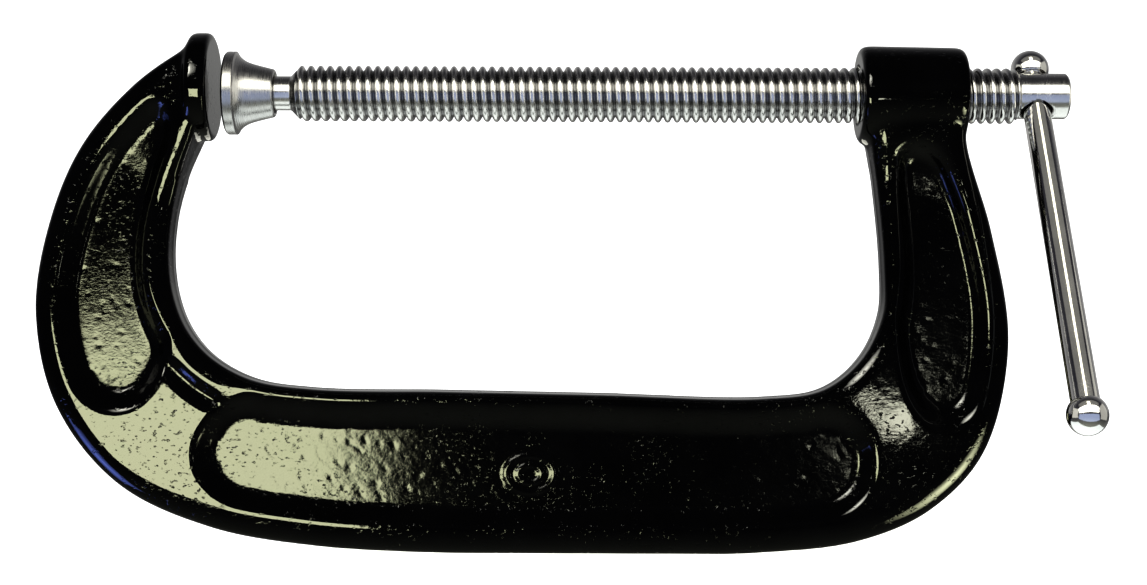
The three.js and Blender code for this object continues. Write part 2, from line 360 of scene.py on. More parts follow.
def arc_points(centre_x, centre_r, radius, start, end, steps):
    angles = np.linspace(start, end, steps + 1)
    return [(centre_x + radius * math.cos(a), centre_r + radius * math.sin(a)) for a in angles]


def bezier(a, b, c, d, steps):
    a, b, c, d = (np.array(p, float) for p in (a, b, c, d))
    out = []
    for t in np.linspace(0, 1, steps + 1):
        out.append((1 - t) ** 3 * a + 3 * t * (1 - t) ** 2 * b + 3 * t * t * (1 - t) * c + t ** 3 * d)
    return out


def vertices_of(obj):
    flat = np.empty(len(obj.data.vertices) * 3, np.float32)
    obj.data.vertices.foreach_get("co", flat)
    return flat.reshape(-1, 3).astype(float)


def set_vertices(obj, points):
    obj.data.vertices.foreach_set("co", points.astype(np.float32).ravel())
    obj.data.update()


def normals_of(obj):
    flat = np.empty(len(obj.data.vertices) * 3, np.float32)
    obj.data.vertex_normals.foreach_get("vector", flat)
    return flat.reshape(-1, 3).astype(float)


def smooth_vertices(obj, weight, rounds):
    """Pulls each vertex towards its neighbours' middle, by its weight."""
    edges = np.empty(len(obj.data.edges) * 2, np.int32)
    obj.data.edges.foreach_get("vertices", edges)
    a, b = edges.reshape(-1, 2).T
    points = vertices_of(obj)
    size = len(points)
    degree = np.bincount(a, minlength=size) + np.bincount(b, minlength=size)
    for _ in range(rounds):
        middle = np.empty_like(points)
        for k in range(3):
            total = np.bincount(a, points[b, k], size) + np.bincount(b, points[a, k], size)
            middle[:, k] = total / degree
        points += (middle - points) * weight[:, None]
    set_vertices(obj, points)


def apply_modifiers(obj):
    graph = bpy.context.evaluated_depsgraph_get()
    mesh = bpy.data.meshes.new_from_object(obj.evaluated_get(graph))
    obj.modifiers.clear()
    obj.data = mesh
    mesh.shade_smooth()


def cut(obj, tool):
    """Takes the tool's solid out of the object, and the tool out of the scene."""
    boolean = obj.modifiers.new("cut", "BOOLEAN")
    boolean.object = tool
    boolean.operation = "DIFFERENCE"
    boolean.solver = "MANIFOLD"
    apply_modifiers(obj)
    bpy.data.objects.remove(tool)


def add_values(obj, name, values):
    attribute = obj.data.attributes.new(name, "FLOAT", "POINT")
    attribute.data.foreach_set("value", np.asarray(values, np.float32))


# ---------- frame ----------

def catmull_rom(points, s):
    """The centripetal Catmull-Rom curve through points, at each s from 0 to 1."""
    count = len(points)
    padded = np.vstack([2 * points[0] - points[1], points, 2 * points[-1] - points[-2]])
    at = np.clip(s, 0, 1) * (count - 1)
    index = np.minimum(at.astype(int), count - 2)
    t = (at - index)[:, None]
    p0, p1, p2, p3 = (padded[index + k] for k in range(4))

    def knot(a, b):
        return np.sqrt(np.linalg.norm(b - a, axis=1))[:, None]

    d0, d1, d2 = knot(p0, p1), knot(p1, p2), knot(p2, p3)
    m1 = ((p1 - p0) / d0 - (p2 - p0) / (d0 + d1) + (p2 - p1) / d1) * d1
    m2 = ((p2 - p1) / d1 - (p3 - p1) / (d1 + d2) + (p3 - p2) / d2) * d1
    return p1 + m1 * t + (3 * (p2 - p1) - 2 * m1 - m2) * t ** 2 + (2 * (p1 - p2) + m1 + m2) * t ** 3


def section_grid():
    """The section's stations, evenly spaced: outer and inner points, and length along the middle."""
    s = np.linspace(0, 1, CURVE_STEPS)
    outer = catmull_rom(RIBS[:, :2], s)
    inner = catmull_rom(RIBS[:, 2:], s)
    outer[:, 1] = np.maximum(outer[:, 1], SPINE_FOOT_Z)
    middle = (outer + inner) / 2
    steps = np.linalg.norm(np.diff(middle, axis=0), axis=1)
    lengths = np.concatenate([[0], np.cumsum(steps)])
    even = np.linspace(0, lengths[-1], STATIONS)

    def spread(values):
        return np.stack([np.interp(even, lengths, values[:, k]) for k in (0, 1)], 1)

    return spread(outer), spread(inner), even


def between(pair, downness):
    return pair[0] + (pair[1] - pair[0]) * downness


def pocket_at(length, downness, from_outer_rim, from_inner_rim):
    """0 at the pocket's rim and outside it, 1 on its floor. The ends are round."""
    half_width = (from_outer_rim + from_inner_rim) / 2
    across = from_outer_rim - half_width
    slope = np.where(across < 0, between(SLOPE_OUTER, downness), between(SLOPE_INNER, downness))
    depth = np.zeros_like(across)
    for start, end in POCKETS:
        from_end = np.minimum(length - start, end - length)
        over_end = np.maximum(0, half_width - from_end)
        inside = half_width - np.hypot(across, over_end)
        end_slope = slope + (SLOPE_OUTER[0] - slope) * np.minimum(1, over_end / half_width)
        depth = np.maximum(depth, smoothstep(inside, 0, end_slope))
    return depth


def rounded_edge(distance, edge, drop):
    """How far a quarter-round edge has fallen, by the distance from the rim."""
    left = np.clip(1 - distance / edge, 0, 1)
    return drop * (1 - np.sqrt(1 - left * left))


def broad_edge(distance, edge, drop):
    """An edge that falls away gently, for the inner rim's bead."""
    left = np.clip(1 - distance / edge, 0, 1)
    return drop * (BEAD_GENTLE * left ** BEAD_POWER + BEAD_ROUND * (1 - np.sqrt(1 - left * left)))


def section_rings():
    """Rings of points round the section, and the pocket depth over its face."""
    outer, inner, length = section_grid()
    width = np.linalg.norm(inner - outer, axis=1)[:, None]
    downness = np.clip((inner[:, 1] - outer[:, 1])[:, None] / width, 0, 1)
    length = length[:, None]
    across = 0.5 - 0.5 * np.cos(math.pi * np.linspace(0, 1, CROSS_STEPS + 1))[None, :]
    from_outer = across * width
    from_inner = width - from_outer
    edge_outer = between(EDGE_OUTER, downness)
    edge_inner = between(EDGE_INNER, downness)
    near_anvil = 1 - smoothstep(length, 0, FLARE_LENGTH)
    near_boss = 1 - smoothstep(length[-1, 0] - length, 0, FLARE_LENGTH)
    crest = CREST_HALF + ANVIL_FLARE * near_anvil + BOSS_FLARE * near_boss
    at_left, at_right = (np.exp(-((length - corner) / CORNER_HALF) ** 4) for corner in CORNERS)
    groove = np.clip(1 - np.abs(from_inner - GROOVE_FROM_INNER) / GROOVE_HALF, 0, 1)
    edges = (rounded_edge(from_outer, edge_outer, EDGE_DROP_OUTER)
             + broad_edge(from_inner, edge_inner + BEAD_EXTRA * (at_left + at_right), EDGE_DROP_INNER)
             + GROOVE_DEEP * at_left * groove)
    pocket = pocket_at(length, downness, from_outer - edge_outer, from_inner - edge_inner)
    half = crest - edges - POCKET_DEPTH * pocket

    face = outer[:, None, :] * (1 - across[:, :, None]) + inner[:, None, :] * across[:, :, None]
    front = np.stack([face[..., 0], -half, face[..., 1]], -1)
    back = np.stack([face[..., 0], half, face[..., 1]], -1)[:, ::-1]
    outward = (outer - inner) / width
    turn = np.linspace(0, 1, WALL_STEPS + 1)[1:-1]

    def wall(a, b, direction):
        points = a[:, None, :] + (b - a)[:, None, :] * turn[None, :, None]
        ridge = PARTING_HEIGHT * np.exp(-(points[..., 1] / PARTING_WIDTH) ** 2)
        draft = WALL_DRAFT * (1 - np.abs(turn[None, :] * 2 - 1))
        bulge = (ridge + draft)[..., None]
        away = np.stack([direction[:, 0], 0 * direction[:, 0], direction[:, 1]], -1)
        return points + bulge * away[:, None, :]

    inner_wall = wall(front[:, -1], back[:, 0], -outward)
    outer_wall = wall(back[:, -1], front[:, 0], outward)
    rings = np.concatenate([front, inner_wall, back, outer_wall], axis=1)
    return rings, face, pocket


def layer(points, height, size, seed):
    return height * lattice_noise(points, size, seed)


def pebbles(points, pocket):
    """Height of the cast skin at each point in mm: soft waves, orange peel, and rougher pocket floors."""
    turned = points @ np.array([[0.8, 0, 0.6], [0, 1, 0], [-0.6, 0, 0.8]])
    ripple = turned * (0.55, 1, 1)
    waves = layer(points, *WAVES)
    peel = layer(points, *PEEL_BROAD) + layer(points, *PEEL_FINE)
    grain = layer(ripple, *GRAIN_LONG) + layer(points, *GRAIN_BROAD)
    pit_depth, pit_size, pit_seed = PITS
    pits = smoothstep(lattice_noise(ripple, pit_size, pit_seed), PITS_FROM, PITS_FULL)
    return waves + peel + grain * pocket - pit_depth * pits * (PITS_ON_RIMS + (1 - PITS_ON_RIMS) * pocket)


def size_mark(points, normals):
    """Two plain raised oval rings on the front of the spine, in mm."""
    x = (points[:, 0] - MARK_CENTRE[0]) / MARK_HALF[0]
    z = (points[:, 2] - MARK_CENTRE[1]) / MARK_HALF[1]
    radius = np.hypot(x, z)
    rings = sum(np.exp(-((radius - ring) / MARK_RING_HALF) ** 2) for ring in MARK_RINGS)
    return MARK_HEIGHT * rings * (normals[:, 1] < -0.3)


def drum_profile(left, right, left_r, right_r, edge):
    """The profile of a disc or a boss, with a rounded edge at each end."""
    start = arc_points(left + edge, left_r - edge, edge, math.pi, math.pi / 2, EDGE_STEPS)
    end = arc_points(right - edge, right_r - edge, edge, math.pi / 2, 0, EDGE_STEPS)
    return [(left, 0), *start, *end, (right, 0)]


def thread_radius(x, angle, crest, root):
    """The radius of a right-hand thread at a place along it and an angle round it."""
    phase = x / PITCH - angle / (2 * math.pi)
    from_crest = 2 * np.abs(phase - np.round(phase))
    past = np.maximum(0, from_crest - (1 - ROOT_ROUND))
    eased = (from_crest - past * past / (2 * ROOT_ROUND)) / (1 - ROOT_ROUND / 2)
    return root + (crest - root) * (1 - eased ** CREST_POWER)


def tap():
    """The solid that cuts the boss's thread, with a chamfer at each end."""
    start, end = BOSS_LEFT_X - TAP_OVERRUN, BOSS_RIGHT_X + TAP_OVERRUN
    stations = np.arange(start, end, PITCH / THREAD_STEPS)

    def radius(x, angle, _):
        thread = thread_radius(x, angle, THREAD_R + THREAD_FIT, THREAD_ROOT_R + THREAD_FIT)
        left_chamfer = THREAD_R + BORE_CHAMFER - (x - BOSS_LEFT_X)
        right_chamfer = THREAD_R + BORE_CHAMFER - (BOSS_RIGHT_X - x)
        return np.maximum(thread, np.maximum(left_chamfer, right_chamfer))

    profile = [(start, 0), *[(x, THREAD_R) for x in stations], (end, 0)]
    return lathe("tap", profile, BAR_SIDES, radius_at=radius)


def join(objects):
    """Joins objects into the first of them."""
    first = objects[0]
    with bpy.context.temp_override(active_object=first, selected_editable_objects=objects):
        bpy.ops.object.join()
    return first


def blend_joins(casting):
    """Evens out the voxels' steps, then rounds off where the disc and the boss meet the section."""
    points = vertices_of(casting) / MM
    smooth_vertices(casting, np.full(len(points), SMOOTH_WEIGHT), SETTLE_ROUNDS)
    from_axis = np.hypot(points[:, 1], points[:, 2])
    by_disc = np.exp(-((points[:, 0] - DISC_BLEND_X) / DISC_BLEND_HALF) ** 2)
    by_disc *= from_axis < DISC_BLEND_REACH
    by_boss = np.exp(-((from_axis - BOSS_BLEND_R) / BOSS_BLEND_HALF) ** 2)
    by_boss *= points[:, 0] > BOSS_BLEND_FROM_X
    smooth_vertices(casting, np.clip(by_disc + by_boss, 0, 1) * SMOOTH_WEIGHT, BLEND_ROUNDS)


def pocket_floor(points, normals, face, pocket):
    """How far each point is on a pocket's floor, from 0 to 1, by the nearest place on the section's face."""
    places = face[::LOOKUP_STEP, ::LOOKUP_STEP]
    depths = pocket[::LOOKUP_STEP, ::LOOKUP_STEP].ravel()
    tree = kdtree.KDTree(places.size // 2)
    for i, (x, z) in enumerate(places.reshape(-1, 2)):
        tree.insert((x, 0, z), i)
    tree.balance()
    nearest = np.array([depths[tree.find((x, 0, z))[1]] for x, _, z in points])
    return nearest * smoothstep(np.abs(normals[:, 1]), 0.5, 0.9)


def frame_casting():
    rings, face, pocket = section_rings()
    section = skin("frame_casting", rings, rings[0].mean(axis=0), rings[-1].mean(axis=0))
    disc_profile = drum_profile(-ANVIL_THICKNESS, 0, ANVIL_R, ANVIL_R, ANVIL_EDGE)
    disc = lathe("disc", disc_profile, DRUM_SIDES, origin=(0, 0, ANVIL_CENTRE_Z))
    boss_profile = drum_profile(BOSS_LEFT_X, BOSS_RIGHT_X, BOSS_LEFT_R, BOSS_RIGHT_R, BOSS_EDGE)
    boss = lathe("boss", boss_profile, DRUM_SIDES)
    casting = join([section, disc, boss])
    remesh = casting.modifiers.new("skin", "REMESH")
    remesh.mode = "VOXEL"
    remesh.voxel_size = VOXEL * MM
    apply_modifiers(casting)
    blend_joins(casting)

    points = vertices_of(casting) / MM
    normals = normals_of(casting)
    floor_part = pocket_floor(points, normals, face, pocket)
    machined = smoothstep(points[:, 0], MACHINED_FROM_X, MACHINED_FULL_X) * (points[:, 0] < 1)
    height = pebbles(points, floor_part) * (1 - machined) + size_mark(points, normals)
    set_vertices(casting, (points + normals * height[:, None]) * MM)
    add_values(casting, "pocket", floor_part)
    cut(casting, tap())
    return casting


# ---------- screw ----------

def screw_piece(pad_face):
    """The ball nose, neck, thread and head. Its head has a cross hole for the handle."""
    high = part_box("screw")[1].x / MM
    ball_x = pad_face + BALL_CENTRE
    ball_end = math.asin(UNDERCUT_R / BALL_R)
    nose = arc_points(ball_x, 0, BALL_R, math.pi, ball_end, 24)
    shank = fillet([
        nose[-1],
        (pad_face + UNDERCUT_END - UNDERCUT_SLOPE, UNDERCUT_R),
        (pad_face + UNDERCUT_END, NECK_R),
        (THREAD_START_X, NECK_R),
        (THREAD_START_X + SHOULDER, NECK_R + SHOULDER),
    ], 0.35)
    stations = np.arange(THREAD_START_X + FIRST_TURN, THREAD_END_X - LAST_TURN, PITCH / THREAD_STEPS)
    head = fillet([
        (THREAD_END_X, HEAD_R - 0.15),
        (THREAD_END_X + 0.5, HEAD_R),
        (high - HEAD_CHAMFER, HEAD_R),
        (high, HEAD_R - HEAD_CHAMFER),
        (high, DIMPLE_R),
        (high - DIMPLE_WALL, DIMPLE_FLOOR_R),
        (high - DIMPLE_DEPTH, 0),
    ], 0.25)
    profile = [(nose[0][0], 0), *nose[1:], *shank[1:], *[(x, THREAD_R) for x in stations],
               *subdivided(head, 0.6)]

    def radius(x, angle, plain):
        threaded = (x > THREAD_START_X + 0.32) & (x < THREAD_END_X - 0.05)
        past_shoulder = x - THREAD_START_X - SHOULDER
        lead_in = NECK_R + SHOULDER + past_shoulder * (THREAD_R - NECK_R) / THREAD_CHAMFER
        run_out = HEAD_R - 0.1 + (THREAD_END_X - x) * RUN_OUT_SLOPE
        thread = thread_radius(x, angle, THREAD_R, THREAD_ROOT_R)
        return np.where(threaded, np.minimum(thread, np.minimum(lead_in, run_out)), plain)

    screw = lathe("screw_thread", profile, BAR_SIDES, radius_at=radius)
    handle_x, axis = handle_line()
    hole = fillet([
        (-CROSS_HOLE_REACH, 0),
        (-CROSS_HOLE_REACH, CROSS_HOLE_R + CROSS_HOLE_FLARE),
        (-HEAD_R + CROSS_HOLE_MOUTH, CROSS_HOLE_R),
        (HEAD_R - CROSS_HOLE_MOUTH, CROSS_HOLE_R),
        (CROSS_HOLE_REACH, CROSS_HOLE_R + CROSS_HOLE_FLARE),
        (CROSS_HOLE_REACH, 0),
    ], 0.4)
    cut(screw, lathe("hole", hole, HOLE_SIDES, origin=(handle_x, 0, 0), axis=axis))
    points = vertices_of(screw) / MM
    from_axis = np.hypot(points[:, 1], points[:, 2])
    threaded = (points[:, 0] > THREAD_START_X + 1) & (points[:, 0] < THREAD_END_X)
    # How deep each point sits in a thread's root, for the painted shade that darkens the steel's colour
    # there.
    add_values(screw, "root", smoothstep(from_axis, THREAD_R - 0.4, THREAD_ROOT_R) * threaded)
    return screw


# ---------- swivel pad and ring ----------

def pad_piece(pad_face):
    """The pad: flange, cove and collar outside, a socket for the ball and a groove for the ring inside."""
    cove = bezier((PAD_FLANGE_LENGTH + 0.3, PAD_FLANGE_R - 0.7),
                  (PAD_FLANGE_LENGTH + 2.2, PAD_FLANGE_R - 3.0),
                  (PAD_FLANGE_LENGTH + 3.6, PAD_COLLAR_R + 1.5),
                  (PAD_LENGTH - 0.3, PAD_COLLAR_R), 28)
    outside = [
        (0, 0),
        (0, FACE_RING[0]),
        (FACE_RING_DEPTH, FACE_RING[1]),
        (FACE_RING_DEPTH, FACE_RING[2]),
        (0, FACE_RING[3]),
        (0, PAD_FLANGE_R - 0.5),
        (0.5, PAD_FLANGE_R),
        (PAD_FLANGE_LENGTH, PAD_FLANGE_R),
        *cove,
        (PAD_LENGTH, PAD_COLLAR_R - 0.3),
        (PAD_LENGTH, MOUTH_OUTER_R),
        (RING_GROOVE_END, MOUTH_INNER_R),
        (RING_GROOVE_END, RING_GROOVE_R),
        (RING_GROOVE_START, RING_GROOVE_R),
        (RING_GROOVE_START, SOCKET_BORE_R),
        (BALL_CENTRE + 0.3, SOCKET_BORE_R),
    ]
    socket = arc_points(BALL_CENTRE, 0, SOCKET_R, math.pi / 2, math.pi, 14)[:-1]
    profile = fillet([*outside, *socket, (BALL_CENTRE - SOCKET_R, 0)], 0.18, 3)
    profile = subdivided(profile, 0.35)

    def radius(x, angle, plain):
        marks = TOOL_MARK_DEPTH * np.sin(x * 2 * math.pi / TOOL_MARK_SPACING)
        return plain + marks * (plain > PAD_COLLAR_R - 0.2)

    return lathe("pad_turned", profile, PAD_SIDES, origin=(pad_face, 0, 0), radius_at=radius)


def ring_piece(low, high):
    """The open wire ring, from the middle of its node's box."""
    x = (low.x + high.x) / 2 / MM
    half_gap = RING_OPEN_ANGLE / 2
    angles = np.linspace(half_gap, 2 * math.pi - half_gap, RING_STATIONS)
    wire = np.linspace(0, 2 * math.pi, RING_WIRE_SIDES, endpoint=False)
    centres = np.stack([0 * angles + x, RING_R * np.cos(angles), RING_R * np.sin(angles)], 1)
    out = np.stack([0 * angles, np.cos(angles), np.sin(angles)], 1)
    station = np.arange(RING_STATIONS)
    from_end = np.minimum(station, station[::-1])
    wire_r = RING_WIRE_R * np.minimum(1, RING_END_SCALE + (1 - RING_END_SCALE) * from_end / 2)
    along = np.array((1.0, 0, 0))
    around = np.cos(wire)[None, :, None] * out[:, None, :] + np.sin(wire)[None, :, None] * along
    rings = centres[:, None, :] + wire_r[:, None, None] * around
    return skin("ring_wire", rings, centres[0], centres[-1])


# ---------- handle ----------

def handle_line():
    """Where the handle crosses the screw's axis in mm, and the direction up the handle."""
    slide = next(j for j in frame["joints"] if j["name"] == "handle_slide")
    low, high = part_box("handle_bar")
    return (low.x + high.x) / 2 / MM, np.array(slide["axis"], float)


def reach(node):
    """How far a node reaches down and up the handle's line from the screw's axis, in mm."""
    _, axis = handle_line()
    points = np.array([v.co for v in frame["nodes"][node].data.vertices]) / MM
    along = points[:, 1:] @ axis[1:]
    return along.min(), along.max()


def bar_piece():
    x, axis = handle_line()
    bottom, top = reach("handle_bar")
    profile = fillet([
        (bottom, 0),
        (bottom, BAR_R - BAR_CHAMFER),
        (bottom + BAR_CHAMFER, BAR_R),
        (top - BAR_CHAMFER, BAR_R),
        (top, BAR_R - BAR_CHAMFER),
        (top, 0),
    ], 0.3)
    profile = subdivided(profile, 0.8)

    def radius(along, angle, plain):
        spiral = np.sin(along * 0.9 + 2 * angle) * np.sin(along * 0.23 + 1.0)
        return plain - BAR_WEAR * (1 + spiral)

    return lathe("handle_rod", profile, BAR_SIDES, origin=(x, 0, 0), axis=axis, radius_at=radius)


def ball_piece(name, node, outward):
    """A ball end, with a flat mouth and a fine ring where the bar goes in."""
    x, axis = handle_line()
    low, high = reach(node)
    far = high if outward > 0 else -low
    centre = far - BALL_END_R
    mouth_angle = math.pi - math.acos(BALL_MOUTH / BALL_END_R)
    round_part = arc_points(centre, 0, BALL_END_R, mouth_angle, BALL_TIP_ANGLE, 46)
    hole_end = centre + BALL_HOLE_PAST_CENTRE
    profile = [
        (hole_end, 0),
        (hole_end, BALL_HOLE_R),
        (centre - BALL_MOUTH, BALL_HOLE_R),
        (centre - BALL_MOUTH, BALL_HOLE_R + BALL_HOLE_LIP),
        *round_part,
        (far - 0.1, 0.6),
        (far - 0.16, 0),
    ]
    profile = fillet(profile, 0.12, 3)
    return lathe(name, profile, BAR_SIDES, origin=(x, 0, 0), axis=axis * outward)


# ---------- materials ----------

def colour_ramp(nodes, stops):
    node = nodes.new("ShaderNodeValToRGB")
    while len(node.color_ramp.elements) < len(stops):
        node.color_ramp.elements.new(0.5)
    for element, (at, colour) in zip(node.color_ramp.elements, stops):
        element.position = at
        element.color = (*colour, 1)
    return node


class Look:
    """A node tree being built."""

    def __init__(self, name):
        self.material = bpy.data.materials.new(name)
        self.material.use_nodes = True
        self.nodes = self.material.node_tree.nodes
        self.links = self.material.node_tree.links
        self.shader = self.nodes["Principled BSDF"]
        self.place = self.add("ShaderNodeTexCoord").outputs["Object"]

    def add(self, kind, **values):
        node = self.nodes.new(kind)
        for key, value in values.items():
            if key in node.inputs:
                node.inputs[key].default_value = value
            else:
                setattr(node, key, value)
        return node

    def set(self, **values):
        for key, value in values.items():
            self.shader.inputs[key.replace("_", " ")].default_value = value

    def stretched(self, scale):
        """The object's coordinates, scaled by features per metre along each axis."""
        mapping = self.add("ShaderNodeMapping", Scale=scale)
        self.links.new(self.place, mapping.inputs["Vector"])
        return mapping.outputs["Vector"]

    def noise(self, scale, detail=3.0, rough=0.5, vector=None):
        node = self.add("ShaderNodeTexNoise", Scale=scale, Detail=detail, Roughness=rough)
        self.links.new(vector or self.place, node.inputs["Vector"])
        return node.outputs["Fac"]

    def values(self, name):
        return self.add("ShaderNodeAttribute", attribute_name=name).outputs["Fac"]

    def ramp(self, factor, *stops):
        node = colour_ramp(self.nodes, stops)
        self.links.new(factor, node.inputs["Fac"])
        return node.outputs["Color"]

    def range(self, factor, low, high, start=0.0, end=1.0):
        node = self.add("ShaderNodeMapRange")
        node.inputs["From Min"].default_value = start
        node.inputs["From Max"].default_value = end
        node.inputs["To Min"].default_value = low
        node.inputs["To Max"].default_value = high
        self.links.new(factor, node.inputs["Value"])
        return node.outputs["Result"]

    def math(self, operation, a, b):
        node = self.add("ShaderNodeMath", operation=operation)
        for socket, value in zip(node.inputs, (a, b)):
            if isinstance(value, (int, float)):
                socket.default_value = value
            else:
                self.links.new(value, socket)
        return node.outputs["Value"]

    def mix(self, factor, a, b):
        node = self.add("ShaderNodeMix", data_type="RGBA")
        self.links.new(factor, node.inputs["Factor"])
        for socket, value in ((node.inputs[6], a), (node.inputs[7], b)):
            if isinstance(value, tuple):
                socket.default_value = (*value, 1)
            else:
                self.links.new(value, socket)
        return node.outputs[2]

    def bump(self, height, distance, strength=1.0, under=None):
        node = self.add("ShaderNodeBump", Strength=strength, Distance=distance)
        self.links.new(height, node.inputs["Height"])
        if under:
            self.links.new(under, node.inputs["Normal"])
        return node.outputs["Normal"]

    def to(self, socket, value):
        self.links.new(value, self.shader.inputs[socket])


def grey(v, warm=0.0):
    return (v * (1 + warm), v, v * (1 - warm))


def enamel():
    """Black enamel: orange peel all over, pits in the pockets and in patches, and sparse specks."""
    look = Look("black_enamel")
    look.set(IOR=1.38, Metallic=0.0)
    tone = look.ramp(look.noise(90, 4), (0.35, (0.0006, 0.0006, 0.0008)), (0.7, (0.0016, 0.0016, 0.0020)))
    look.to("Base Color", tone)
    pocket = look.values("pocket")
    smear = look.noise(220, 5, 0.6)
    base = look.range(smear, 0.02, 0.05, 0.35, 0.7)
    look.to("Roughness", look.math("ADD", base, look.math("MULTIPLY", pocket, 0.05)))
    peel = look.bump(look.noise(520, 2, 0.4), 0.000007, 1.0)
    pits = look.noise(1.0, 3, 0.6, look.stretched((900, 1100, 1500)))
    patches = look.noise(70, 3, 0.6)
    coarse = look.math("ADD", look.range(pocket, 0.15, 0.9), look.range(patches, 0, 0.25, 0.50, 0.66))
    fine = look.bump(look.math("MULTIPLY", pits, coarse), 0.000030, 1.0, peel)
    specks = look.range(look.noise(1.0, 2, 0.6, look.stretched((620, 800, 1050))), 0.0, -1.0, 0.60, 0.74)
    specks = look.math("MULTIPLY", specks, look.range(patches, 0.15, 1.3, 0.38, 0.62))
    look.to("Normal", look.bump(specks, 0.00006, 1.0, fine))
    return look.material


def steel(name, bright, rough, line_scale, line_depth, painted_root_shade=False):
    """Turned or drawn steel: fine lines across one axis, soft stains, and painted shade darkening a thread's
    root.
    """
    look = Look(name)
    look.set(Metallic=1.0)
    lines = look.noise(1.0, 3, 0.6, look.stretched(line_scale))
    stain = look.noise(130, 5, 0.6)
    tone = look.ramp(stain, (0.3, grey(bright * 0.82, 0.01)), (0.7, grey(bright, 0.02)))
    # Painted shade: the colour darkens towards the thread's root, where shade falls.
    if painted_root_shade:
        tone = look.mix(look.range(look.values("root"), 0, 0.7), tone, (0.10, 0.10, 0.105))
    look.to("Base Color", tone)
    base = look.range(lines, rough * 0.75, rough * 1.35, 0.3, 0.7)
    look.to("Roughness", look.math("ADD", base, look.range(stain, 0, 0.05, 0.45, 0.75)))
    lined = look.bump(lines, line_depth, 0.5)
    look.to("Normal", look.bump(look.noise(900, 2), 0.00001, 0.35, lined))
    return look.material


# ---------- pieces ----------

def dress(obj, material, body, node):
    """Gives a piece its material and the body it rides on, and hides the CAD node it stands for."""
    obj.data.materials.clear()
    obj.data.materials.append(material)
    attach(obj, body)
    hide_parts(node)


PAD_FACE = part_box("swivel_pad")[0].x / MM

# The screw's steel has painted shade in its thread roots.
turned_steel = steel("turned_steel", 0.62, 0.2, (5200, 260, 260), 0.00002, painted_root_shade=True)
satin_steel = steel("satin_steel", 0.5, 0.27, (4200, 180, 180), 0.00003)
wire_steel = steel("spring_steel", 0.4, 0.3, (1500, 1500, 1500), 0.00002)
polished = steel("polished_steel", 0.72, 0.1, (700, 700, 60), 0.000008)

casting = frame_casting()
screw = screw_piece(PAD_FACE)
pad = pad_piece(PAD_FACE)
ring = ring_piece(*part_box("pad_retaining_ring"))
rod = bar_piece()
ball_top = ball_piece("ball_top", "handle_ball_top", 1)
ball_bottom = ball_piece("ball_bottom", "handle_ball_bottom", -1)

dress(casting, enamel(), "frame", "frame")
dress(screw, turned_steel, "screw", "screw")
dress(pad, satin_steel, "pad", "swivel_pad")
dress(ring, wire_steel, "carriage", "pad_retaining_ring")
dress(rod, polished, "handle", "handle_bar")
dress(ball_top, polished, "handle", "handle_ball_top")
dress(ball_bottom, polished, "handle", "handle_ball_bottom")


# ---------- stage ----------

# The floor's sizes are in metres.
FLOOR_GAP = 0.0006
FLOOR_HALF = 3.0
FLOOR_GLOW = 0.40
FLOOR_GLOW_TO_CAMERA = 1.0
GROUND_BRIGHTNESS = 1.05
# Where the room in front gives way to the room behind, along the direction's y.
BEHIND_FROM = 0.1
BEHIND_FULL = 0.9
# The room that the reflections see, as (height from 0 at the bottom to 1 at the top, colour).
ROOM_IN_FRONT = (
    (0.0, (0.34, 0.35, 0.30)),
    (0.40, (0.05, 0.05, 0.06)),
    (0.50, (0.04, 0.04, 0.05)),
    (0.62, (0.07, 0.07, 0.08)),
    (0.80, (0.05, 0.05, 0.06)),
    (1.0, (0.05, 0.05, 0.055)),
)
ROOM_BEHIND = (
    (0.0, (0.46, 0.47, 0.43)),
    (0.43, (0.14, 0.14, 0.14)),
    (0.5, (0.20, 0.20, 0.20)),
    (0.56, (0.46, 0.46, 0.45)),
    (1.0, (0.22, 0.22, 0.23)),
)


def floor(height, half=FLOOR_HALF):
    """A pale floor, hidden from reflections and from shadow rays so that it doesn't block the low lamps."""
    mesh = bpy.data.meshes.new("floor")
    corners = [(-half, -half, height), (half, -half, height), (half, half, height), (-half, half, height)]
    mesh.from_pydata(corners, [], [(0, 1, 2, 3)])
    obj = bpy.data.objects.new("floor", mesh)
    bpy.context.scene.collection.objects.link(obj)
    material = bpy.data.materials.new("pale_floor")
    material.use_nodes = True
    nodes, links = material.node_tree.nodes, material.node_tree.links
    shader = nodes["Principled BSDF"]
    shader.inputs["Base Color"].default_value = (0.8, 0.8, 0.8, 1)
    shader.inputs["Roughness"].default_value = 0.7
    shader.inputs["Specular IOR Level"].default_value = 0.0
    shader.inputs["Emission Color"].default_value = (1, 1, 1, 1)
    path = nodes.new("ShaderNodeLightPath")
    glow = nodes.new("ShaderNodeMapRange")
    glow.inputs["To Min"].default_value = FLOOR_GLOW
    glow.inputs["To Max"].default_value = FLOOR_GLOW_TO_CAMERA
    links.new(path.outputs["Is Camera Ray"], glow.inputs["Value"])
    links.new(glow.outputs["Result"], shader.inputs["Emission Strength"])
    mesh.materials.append(material)
    obj.visible_glossy = False
    obj.visible_shadow = False


